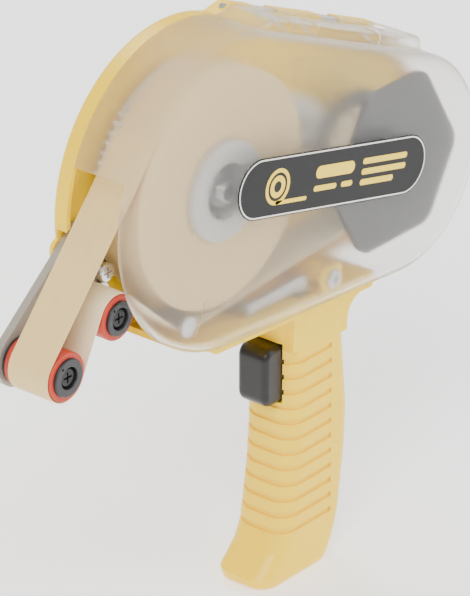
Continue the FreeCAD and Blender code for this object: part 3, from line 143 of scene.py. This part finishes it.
class DispenserPapers(bpy.types.PropertyGroup):
    tape_colour: colour("Tape", (0.76, 0.54, 0.22), "Colour of the liner side of the tape")
    core_colour: colour("Core", (0.50, 0.36, 0.20), "Colour of the paper core")
    liner_colour: colour("Used liner", (0.84, 0.72, 0.47), "Colour of the wound liner")
    layer_pitch: length("Layer pitch", 0.0011, "Spacing of the visible layers on the roll's sides")


class DispenserMetals(bpy.types.PropertyGroup):
    rubber_colour: colour("Roller rubber", (0.44, 0.026, 0.006), "Colour of the roller tyres")
    arm_colour: colour("Nose arm", (0.36, 0.32, 0.26), "Colour of the painted nose arm")
    steel_colour: colour("Steel", (0.56, 0.56, 0.55), "Colour of the turned steel pieces")
    black_colour: colour("Blackened screws", (0.02, 0.02, 0.022), "Colour of the blackened screws")


class DispenserLabel(bpy.types.PropertyGroup):
    long: length("Label length", 0.116, "Overall length of the label")
    high: length("Label height", 0.024, "Overall height of the label")
    border: length("Border width", 0.0006, "Width of the pale line round the label")
    plate_colour: colour("Label ground", (0.004, 0.004, 0.0045), "Colour of the label's ground")
    print_colour: colour("Label print", (0.95, 0.66, 0.02), "Colour of the pictogram and bars")
    border_colour: colour("Label border", (0.78, 0.76, 0.70), "Colour of the border line")


class DispenserStage(bpy.types.PropertyGroup):
    target: FloatVectorProperty(name="Target", description="Point that the camera looks at",
                                default=(-0.00328, 0.01226, 0.11720), subtype="XYZ", unit="LENGTH")
    azimuth: FloatProperty(name="Azimuth", description="Camera's turn about the vertical",
                           default=math.radians(-50.3), subtype="ANGLE", unit="ROTATION")
    elevation: FloatProperty(name="Elevation", description="Camera's height angle",
                             default=math.radians(26.5), subtype="ANGLE", unit="ROTATION")
    distance: length("Distance", 1.92, "From the camera to its target")
    lens: FloatProperty(name="Lens", description="Focal length in millimetres", default=302.0)
    floor_size: length("Floor size", 6.0, "Side of the pale floor")
    floor_colour: colour("Floor", (0.90, 0.90, 0.895), "Colour of the floor")
    floor_glow: FloatProperty(name="Floor glow", default=0.7,
                              description="Light that the lit floor gives off itself")
    key_power: FloatProperty(name="Key light", description="Power of the key light",
                             default=34.0, unit="POWER")
    sky: FloatProperty(name="Sky", default=0.85,
                       description="Strength of the even light from all round")


# ---------------------------------------------------------------- materials

def node(tree, kind, **values):
    """Add a shader node and set its attributes."""
    made = tree.nodes.new("ShaderNode" + kind)
    for name, value in values.items():
        setattr(made, name, value)
    return made


def noise(tree, coords, scale, detail):
    made = node(tree, "TexNoise")
    made.inputs["Scale"].default_value = scale
    made.inputs["Detail"].default_value = detail
    tree.links.new(coords, made.inputs["Vector"])
    return made.outputs["Fac"]


def spread(tree, source, low, high, lowest=0.0, highest=1.0):
    """Map a 0 to 1 value onto a range of another quantity."""
    made = node(tree, "MapRange")
    for name, value in (("From Min", lowest), ("From Max", highest),
                        ("To Min", low), ("To Max", high)):
        made.inputs[name].default_value = value
    tree.links.new(source, made.inputs["Value"])
    return made.outputs["Result"]


def mixed(tree, share_of_second, first, second):
    """Mix two colours; each is a tuple or an output."""
    made = node(tree, "Mix", data_type="RGBA")
    sockets = {"Factor": made.inputs[0], "A": made.inputs[6], "B": made.inputs[7]}
    for name, source in (("Factor", share_of_second), ("A", first), ("B", second)):
        if isinstance(source, bpy.types.NodeSocket):
            tree.links.new(source, sockets[name])
        else:
            sockets[name].default_value = source
    return made.outputs[2]


def toned(rgb, factor):
    return tuple(min(1.0, channel * factor) for channel in rgb) + (1.0,)


def place(tree, origin=(0, 0, 0), stretch=(1, 1, 1), turn=0.0):
    """Coordinates in metres from an origin, stretched and turned about Y."""
    coords = node(tree, "TexCoord")
    shift = node(tree, "VectorMath", operation="SUBTRACT")
    shift.inputs[1].default_value = origin
    mapping = node(tree, "Mapping")
    mapping.inputs["Rotation"].default_value = (0, turn, 0)
    mapping.inputs["Scale"].default_value = stretch
    tree.links.new(coords.outputs["Object"], shift.inputs[0])
    tree.links.new(shift.outputs[0], mapping.inputs["Vector"])
    return mapping.outputs["Vector"]


def finish(name, rgb, roughness, blotch=0.06, blotch_scale=45.0, grain_scale=1400.0, grain=0.08,
           stretch=(1, 1, 1), scuffs=0.0, scuff_tone=1.3, origin=(0, 0, 0), uneven=0.2, **sockets):
    """A worked surface: slow colour drift, fine grain, uneven gloss and a few scuffs."""
    material = bpy.data.materials.new(name)
    material.use_nodes = True
    tree = material.node_tree
    shader = tree.nodes["Principled BSDF"]
    coords = place(tree, origin, stretch)
    drift = noise(tree, coords, blotch_scale, 3.0)
    tint = mixed(tree, drift, toned(rgb, 1 - blotch), toned(rgb, 1 + blotch))
    fine = noise(tree, coords, grain_scale, 6.0)
    gloss = spread(tree, noise(tree, coords, blotch_scale * 2.7, 5.0),
                   roughness * (1 - uneven), min(1.0, roughness * (1 + uneven)))
    if scuffs:
        scratched = place(tree, (0, 0, 0), SCUFF_STRETCH, SCUFF_TURN)
        marks = spread(tree, noise(tree, scratched, blotch_scale * 5, 9.0), 0.0, scuffs, *SCUFF_EDGES)
        tint = mixed(tree, marks, tint, toned(rgb, scuff_tone))
        worn = node(tree, "Math", operation="MULTIPLY_ADD")
        worn.inputs[1].default_value = SCUFF_ROUGHENS
        tree.links.new(marks, worn.inputs[0])
        tree.links.new(gloss, worn.inputs[2])
        gloss = worn.outputs[0]
    tree.links.new(tint, shader.inputs["Base Color"])
    tree.links.new(gloss, shader.inputs["Roughness"])
    bump = node(tree, "Bump")
    bump.inputs["Strength"].default_value = grain
    bump.inputs["Distance"].default_value = GRAIN_HEIGHT
    tree.links.new(fine, bump.inputs["Height"])
    tree.links.new(bump.outputs["Normal"], shader.inputs["Normal"])
    for socket, value in sockets.items():
        shader.inputs[socket.replace("_", " ")].default_value = value
    return material


def shader_of(material):
    return material.node_tree.nodes["Principled BSDF"]


def add_bump(material, height, strength, distance):
    """Stack another relief on a material's grain."""
    tree = material.node_tree
    bump = node(tree, "Bump")
    bump.inputs["Strength"].default_value = strength
    bump.inputs["Distance"].default_value = distance
    socket = shader_of(material).inputs["Normal"]
    tree.links.new(socket.links[0].from_socket, bump.inputs["Normal"])
    tree.links.new(height, bump.inputs["Height"])
    tree.links.new(bump.outputs["Normal"], socket)


def tint_by(material, amount, rgb):
    """Lay a second colour over a material's own where amount says."""
    tree = material.node_tree
    socket = shader_of(material).inputs["Base Color"]
    tree.links.new(mixed(tree, amount, socket.links[0].from_socket, tuple(rgb) + (1.0,)), socket)


def rings(material, centre, pitch):
    """Fine rings about an axis along Y, as the edges of wound layers show."""
    tree = material.node_tree
    wave = node(tree, "TexWave", wave_type="RINGS", rings_direction="Y")
    wave.inputs["Scale"].default_value = 1.0 / (pitch * 20.0) * math.pi
    wave.inputs["Distortion"].default_value = 1.2
    wave.inputs["Detail"].default_value = 3.0
    wave.inputs["Detail Scale"].default_value = 2.0
    tree.links.new(place(tree, tuple(centre)), wave.inputs["Vector"])
    return wave.outputs["Fac"]


def give(material, *nodes):
    for name in nodes:
        slots = frame["nodes"][name].data.materials
        slots.clear()
        slots.append(material)


# ---------------------------------------------------------------- meshes

def piece(name, mesh, body, material, bevel=0.0):
    """Put a finished mesh in the scene, riding on a CAD body."""
    data = bpy.data.meshes.new(name)
    mesh.to_mesh(data)
    mesh.free()
    made = bpy.data.objects.new(name, data)
    bpy.context.scene.collection.objects.link(made)
    data.materials.append(material)
    if bevel:
        edge = made.modifiers.new("edge", "BEVEL")
        edge.width = bevel
        edge.segments = 3
        edge.limit_method = "ANGLE"
    for face in data.polygons:
        face.use_smooth = True
    even = made.modifiers.new("even", "WEIGHTED_NORMAL")
    even.keep_sharp = True
    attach(made, body)
    return made


def on_face(across, up, depth):
    """A point on the label's tilted face: along the label, across it, and the Y it lies at."""
    cos, sin = math.cos(HEAD_TILT), math.sin(HEAD_TILT)
    centre = middle("label_plate")
    return Vector((centre.x + across * cos + up * sin, depth, centre.z - across * sin + up * cos))


def slab(mesh, outline, near, far, hole=None):
    """Extrude an outline on the label's face between two depths, with an optional matching hole."""
    count = len(outline)
    loops = [[mesh.verts.new(on_face(x, z, y)) for x, z in ring]
             for ring in ([outline, hole] if hole else [outline]) for y in (near, far)]
    for low, high in zip(loops[0::2], loops[1::2]):
        for index in range(count):
            following = (index + 1) % count
            mesh.faces.new((low[index], low[following], high[following], high[index]))
    if hole:
        for outer, inner in ((loops[0], loops[2]), (loops[1], loops[3])):
            for index in range(count):
                following = (index + 1) % count
                mesh.faces.new((outer[index], outer[following], inner[following], inner[index]))
    else:
        mesh.faces.new(loops[0])
        mesh.faces.new(loops[1])
    return mesh


def pill(long, high, shift=(0.0, 0.0)):
    """The outline of a bar with round ends."""
    radius, reach = high / 2, (long - high) / 2
    points = []
    for side, start in ((1, -90), (-1, 90)):
        for step in range(END_STEPS + 1):
            angle = math.radians(start + 180 * step / END_STEPS)
            points.append((shift[0] + side * reach + radius * math.cos(angle),
                           shift[1] + radius * math.sin(angle)))
    return points


def ring(radius, shift):
    angles = [2 * math.pi * step / RING_STEPS for step in range(RING_STEPS)]
    return [(shift[0] + radius * math.cos(angle), shift[1] + radius * math.sin(angle))
            for angle in angles]


def closed(mesh):
    bmesh.ops.recalc_face_normals(mesh, faces=mesh.faces)
    return mesh


# ---------------------------------------------------------------- operators

class DISPENSER_OT_mouldings(bpy.types.Operator):
    """Finish the yellow casing and grip halves, with fine moulded grain and light scuffs"""
    bl_idname = "dispenser.mouldings"
    bl_label = "Yellow mouldings"

    def execute(self, context):
        looks = context.scene.dispenser_plastics
        yellow = finish("casing_yellow", looks.casing_colour, looks.casing_roughness, blotch=0.035,
                        grain=0.10, scuffs=0.10, scuff_tone=1.18, Specular_IOR_Level=0.35)
        give(yellow, "back_casing", "grip_side")
        return {"FINISHED"}


class DISPENSER_OT_cover(bpy.types.Operator):
    """Finish the frosted cover: clear plastic with an etched, light-scattering skin"""
    bl_idname = "dispenser.cover"
    bl_label = "Frosted cover"

    def execute(self, context):
        looks = context.scene.dispenser_plastics
        frost = finish("cover_frosted", looks.cover_colour, looks.cover_roughness, blotch=0.015,
                       blotch_scale=12.0, grain_scale=5200.0, grain=0.035, uneven=0.06,
                       Transmission_Weight=looks.cover_clear, IOR=1.10, Specular_IOR_Level=0.9)
        give(frost, "cover")
        return {"FINISHED"}


class DISPENSER_OT_label(bpy.types.Operator):
    """Build the pill-shaped label: dark ground, pale border, and a printed roll-and-strip pictogram"""
    bl_idname = "dispenser.label"
    bl_label = "Label"

    def execute(self, context):
        looks = context.scene.dispenser_label
        low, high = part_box("label_plate")
        face, print_depth = low.y, PRINT_DEPTH * MM
        printed = {"grain_scale": 3000.0, "grain": 0.05, "scuffs": 0.2, "scuff_tone": 0.8}
        ground = finish("label_black", looks.plate_colour, 0.34, blotch=0.12, grain_scale=2200.0,
                        grain=0.05, scuffs=0.25, scuff_tone=6.0, Specular_IOR_Level=0.22)
        ink = finish("label_print", looks.print_colour, 0.42, blotch=0.05, **printed)
        edge = finish("label_edge", looks.border_colour, 0.40, blotch=0.05, **printed)
        plate = closed(slab(bmesh.new(), pill(looks.long, looks.high), face + print_depth, high.y))
        base = piece("label_ground", plate, "cover", ground, bevel=LABEL_BEVEL * MM)
        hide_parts("label_plate")
        near, far = face + PRINT_SUNK * MM, face + print_depth + PRINT_PROUD * MM
        line_long, line_high = looks.long - LABEL_INSET * MM, looks.high - LABEL_INSET * MM
        line = slab(bmesh.new(), pill(line_long, line_high), near, far,
                    pill(line_long - 2 * looks.border, line_high - 2 * looks.border))
        piece("label_border", closed(line), "cover", edge)
        motif = bmesh.new()
        roll = (-looks.long * ROLL_SHARE, 0.0)
        for outer, inner in ROLL_RINGS:
            slab(motif, ring(outer * MM, roll), near, far, ring(inner * MM, roll))
        strip = (roll[0] + STRIP_LONG / 2 * MM, STRIP_RISE * MM)
        slab(motif, pill(STRIP_LONG * MM, STRIP_HIGH * MM, strip), near, far)
        for start, end, height, rise in LABEL_BARS:
            bar = pill((end - start) * MM, height * MM, ((start + end) / 2 * MM, rise * MM))
            slab(motif, bar, near, far)
        piece("label_motif", closed(motif), "cover", ink)
        return {"FINISHED"}


class DISPENSER_OT_tape(bpy.types.Operator):
    """Finish the tape roll, its core, the running tape and the liner as fibrous paper"""
    bl_idname = "dispenser.tape"
    bl_label = "Tape and liner"

    def execute(self, context):
        looks = context.scene.dispenser_papers
        kraft = finish("tape_kraft", looks.tape_colour, 0.55, blotch=0.05, blotch_scale=120.0,
                       grain_scale=900.0, grain=0.12, stretch=(1.0, 3.0, 1.0), scuffs=0.15, scuff_tone=0.85)
        roll = finish("roll_kraft", looks.tape_colour, 0.60, blotch=0.06, grain=0.12)
        layers = rings(roll, SUPPLY, looks.layer_pitch)
        tint_by(roll, spread(roll.node_tree, layers, 0.0, 0.35), ROLL_LAYER_COLOUR)
        add_bump(roll, layers, LAYER_STRENGTH, LAYER_HEIGHT)
        core = finish("core_paper", looks.core_colour, 0.75, blotch=0.10, grain_scale=700.0, grain=0.25)
        tint_by(core, spread(core.node_tree, rings(core, SUPPLY, CORE_PITCH), 0.0, 0.4), CORE_LAYER_COLOUR)
        liner = finish("liner_paper", looks.liner_colour, 0.50, blotch=0.05, blotch_scale=140.0,
                       grain_scale=900.0, grain=0.12, stretch=(1.0, 3.0, 1.0), scuffs=0.15, scuff_tone=0.88)
        wound = finish("wound_paper", looks.liner_colour, 0.58, blotch=0.06, grain=0.15)
        turns = rings(wound, TAKEUP, looks.layer_pitch)
        tint_by(wound, spread(wound.node_tree, turns, 0.0, 0.4), LINER_LAYER_COLOUR)
        add_bump(wound, turns, LAYER_STRENGTH, LAYER_HEIGHT)
        give(kraft, "tape_web")
        give(roll, "tape_roll")
        give(core, "paper_core")
        give(liner, "liner_web")
        give(wound, "wound_liner")
        return {"FINISHED"}


class DISPENSER_OT_spools(bpy.types.Operator):
    """Finish the spool hubs, the gear train, the felts and the lobed flange"""
    bl_idname = "dispenser.spools"
    bl_label = "Spools and gears"

    def execute(self, context):
        looks = context.scene.dispenser_plastics
        pale = finish("spool_grey", looks.spool_colour, 0.42, blotch=0.05, grain=0.10,
                      scuffs=0.12, scuff_tone=1.2)
        dark = finish("hub_dark", looks.hub_colour, 0.40, blotch=0.12, grain=0.12,
                      scuffs=0.18, scuff_tone=2.4)
        gears = finish("gear_acetal", looks.gear_colour, 0.38, blotch=0.05, grain=0.08, scuffs=0.2,
                       scuff_tone=0.72, Subsurface_Weight=0.08, Subsurface_Scale=0.002)
        felt = finish("felt_grey", FELT_COLOUR, 0.95, blotch=0.25, blotch_scale=400.0,
                      grain_scale=3200.0, grain=0.8, Sheen_Weight=0.4, Sheen_Roughness=0.5)
        give(pale, "supply_hub", "retaining_ring")
        give(dark, "takeup_hub", "lobed_flange", "takeup_cap", "front_hub", "rear_hub")
        give(gears, "supply_gear", "idler_gear", "takeup_gear")
        give(felt, "clutch_felt", "brake_pad")
        return {"FINISHED"}


class DISPENSER_OT_rollers(bpy.types.Operator):
    """Finish the roller tyres as ground rubber, and the painted nose arm"""
    bl_idname = "dispenser.rollers"
    bl_label = "Rollers and arm"

    def execute(self, context):
        looks = context.scene.dispenser_metals
        for name, centre in (("front", FRONT_ROLLER), ("rear", REAR_ROLLER)):
            rubber = finish(name + "_rubber", looks.rubber_colour, 0.52, blotch=0.10, blotch_scale=160.0,
                            grain_scale=1700.0, grain=0.30, scuffs=0.25, scuff_tone=0.6,
                            origin=tuple(centre))
            tree = rubber.node_tree
            ground = node(tree, "TexWave", wave_type="BANDS", bands_direction="Y")
            ground.inputs["Scale"].default_value = RUBBER_GRIND
            ground.inputs["Distortion"].default_value = 2.0
            tree.links.new(place(tree, tuple(centre)), ground.inputs["Vector"])
            add_bump(rubber, ground.outputs["Fac"], 0.10, RUBBER_GRIND_HEIGHT)
            give(rubber, name + "_tyre")
        paint = finish("arm_paint", looks.arm_colour, 0.40, blotch=0.06, grain_scale=1100.0, grain=0.14,
                       scuffs=0.25, scuff_tone=1.7, Metallic=0.35)
        give(paint, "nose_arm")
        return {"FINISHED"}


class DISPENSER_OT_metalwork(bpy.types.Operator):
    """Finish the screws, pins, spindles, springs and the pressed brake lever"""
    bl_idname = "dispenser.metalwork"
    bl_label = "Metalwork"

    def execute(self, context):
        looks = context.scene.dispenser_metals
        steel = finish("steel_turned", looks.steel_colour, 0.30, blotch=0.06, grain_scale=900.0, grain=0.10,
                       stretch=(1.0, 0.08, 1.0), scuffs=0.2, scuff_tone=0.7, Metallic=1.0)
        pressed = finish("steel_pressed", toned(looks.steel_colour, 0.9)[:3], 0.38, blotch=0.08,
                         grain_scale=700.0, grain=0.12, stretch=(0.2, 1.0, 2.0), scuffs=0.3,
                         scuff_tone=0.6, Metallic=1.0)
        chrome = finish("chrome_bright", CHROME_COLOUR, 0.12, blotch=0.03, grain=0.03, scuffs=0.1,
                        scuff_tone=0.7, Metallic=1.0)
        black = finish("steel_blackened", looks.black_colour, 0.34, blotch=0.15, grain=0.12, scuffs=0.3,
                       scuff_tone=4.0, Metallic=0.6)
        give(steel, "grip_screws", "hinge_pin", "supply_spindle", "takeup_spindle", "idler_post",
             "liner_post", "brake_pin", "clutch_spring")
        give(pressed, "brake_lever", "spindle_clip")
        give(chrome, "arm_screws", "tension_spring")
        give(black, "roller_screws")
        return {"FINISHED"}


class DISPENSER_OT_trigger(bpy.types.Operator):
    """Finish the trigger in semi-gloss black, and wind its return spring"""
    bl_idname = "dispenser.trigger"
    bl_label = "Trigger"

    def execute(self, context):
        looks = context.scene.dispenser_plastics
        black = finish("trigger_black", looks.trigger_colour, 0.30, blotch=0.15, grain_scale=1500.0,
                       grain=0.10, scuffs=0.25, scuff_tone=3.0, origin=tuple(middle("trigger")),
                       Specular_IOR_Level=0.35)
        give(black, "trigger")
        wire_steel = finish("spring_steel", context.scene.dispenser_metals.steel_colour, 0.28,
                            blotch=0.06, grain=0.06, scuffs=0.2, scuff_tone=0.7, Metallic=1.0)
        low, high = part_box("trigger_spring")
        wire, centre = looks.spring_wire, (low + high) / 2
        span, radius = high.x - low.x - 2 * wire, (high.z - low.z) / 2 - wire
        path = bpy.data.curves.new("spring_path", "CURVE")
        path.dimensions = "3D"
        path.bevel_depth = wire
        path.bevel_resolution = 3
        path.use_fill_caps = True
        spline = path.splines.new("POLY")
        steps = looks.spring_turns * WIRE_STEPS
        spline.points.add(steps)
        for step, point in enumerate(spline.points):
            angle = 2 * math.pi * step / WIRE_STEPS
            point.co = (low.x + wire + span * step / steps, centre.y + radius * math.cos(angle),
                        centre.z + radius * math.sin(angle), 1.0)
        winding = bpy.data.objects.new("spring_path", path)
        coil = bmesh.new()
        coil.from_mesh(bpy.data.meshes.new_from_object(winding))
        bpy.data.objects.remove(winding)
        spring = piece("return_spring", coil, "casing", wire_steel)
        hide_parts("trigger_spring")
        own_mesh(spring)
        return {"FINISHED"}


def area_light(name, place_at, size, power):
    data = bpy.data.lights.new(name, "AREA")
    data.size = size
    data.energy = power
    lamp = bpy.data.objects.new(name, data)
    lamp.location = place_at
    lamp.rotation_euler = (Vector(LIGHT_TARGET) - Vector(place_at)).to_track_quat("-Z", "Y").to_euler()
    bpy.context.scene.collection.objects.link(lamp)


class DISPENSER_OT_stage(bpy.types.Operator):
    """Lay the pale floor, hang the soft lights and set the camera"""
    bl_idname = "dispenser.stage"
    bl_label = "Stage, lights and camera"

    def execute(self, context):
        looks = context.scene.dispenser_stage
        half = looks.floor_size / 2
        mesh = bmesh.new()
        bmesh.ops.create_grid(mesh, x_segments=2, y_segments=2, size=half)
        data = bpy.data.meshes.new("floor")
        mesh.to_mesh(data)
        mesh.free()
        floor = bpy.data.objects.new("floor", data)
        context.scene.collection.objects.link(floor)
        pale = finish("floor_pale", looks.floor_colour, 0.75, blotch=0.006, blotch_scale=1.5, grain=0.0,
                      Emission_Color=(1.0, 1.0, 1.0, 1.0), Emission_Strength=looks.floor_glow)
        data.materials.append(pale)

        world = bpy.data.worlds.new("studio")
        world.use_nodes = True
        backdrop = world.node_tree.nodes["Background"]
        backdrop.inputs["Color"].default_value = (1.0, 1.0, 1.0, 1.0)
        backdrop.inputs["Strength"].default_value = looks.sky
        context.scene.world = world
        for name, place_at, size, part in LIGHTS:
            area_light(name, place_at, size, looks.key_power * part)

        azimuth, elevation = looks.azimuth, looks.elevation
        right = Vector((math.cos(azimuth), math.sin(azimuth), 0.0))
        back = Vector((math.sin(azimuth) * math.cos(elevation), -math.cos(azimuth) * math.cos(elevation),
                       math.sin(elevation)))
        up = back.cross(right)
        lens = bpy.data.cameras.new("camera")
        lens.lens = looks.lens
        lens.sensor_width = SENSOR_WIDTH_MM
        lens.clip_start = CLIP_START
        camera = bpy.data.objects.new("camera", lens)
        turned = Matrix((right, up, back)).transposed().to_4x4()
        camera.matrix_world = Matrix.Translation(Vector(looks.target) + back * looks.distance) @ turned
        context.scene.collection.objects.link(camera)
        context.scene.camera = camera
        return {"FINISHED"}


# ---------------------------------------------------------------- panel and registration

GROUPS = {
    "dispenser_plastics": DispenserPlastics,
    "dispenser_papers": DispenserPapers,
    "dispenser_metals": DispenserMetals,
    "dispenser_label": DispenserLabel,
    "dispenser_stage": DispenserStage,
}
OPERATORS = (
    DISPENSER_OT_stage, DISPENSER_OT_mouldings, DISPENSER_OT_cover, DISPENSER_OT_label, DISPENSER_OT_tape,
    DISPENSER_OT_spools, DISPENSER_OT_rollers, DISPENSER_OT_metalwork, DISPENSER_OT_trigger,
)


class DISPENSER_PT_panel(bpy.types.Panel):
    """Lists the dispenser's settings and the steps that build its looks"""
    bl_idname = "DISPENSER_PT_panel"
    bl_label = "Tape dispenser"
    bl_space_type = "VIEW_3D"
    bl_region_type = "UI"
    bl_category = "Dispenser"

    def draw(self, context):
        for operator in OPERATORS:
            self.layout.operator(operator.bl_idname)
        for name, group in GROUPS.items():
            box = self.layout.box()
            for setting in group.__annotations__:
                box.prop(getattr(context.scene, name), setting)


def register():
    for name, group in GROUPS.items():
        bpy.utils.register_class(group)
        setattr(bpy.types.Scene, name, PointerProperty(type=group))
    for made in OPERATORS + (DISPENSER_PT_panel,):
        bpy.utils.register_class(made)


def unregister():
    for made in reversed(OPERATORS + (DISPENSER_PT_panel,)):
        bpy.utils.unregister_class(made)
    for name, group in reversed(GROUPS.items()):
        delattr(bpy.types.Scene, name)
        bpy.utils.unregister_class(group)


def main():
    register()
    for operator in OPERATORS:
        group, name = operator.bl_idname.split(".")
        getattr(getattr(bpy.ops, group), name)()


if __name__ == "__main__":
    main()
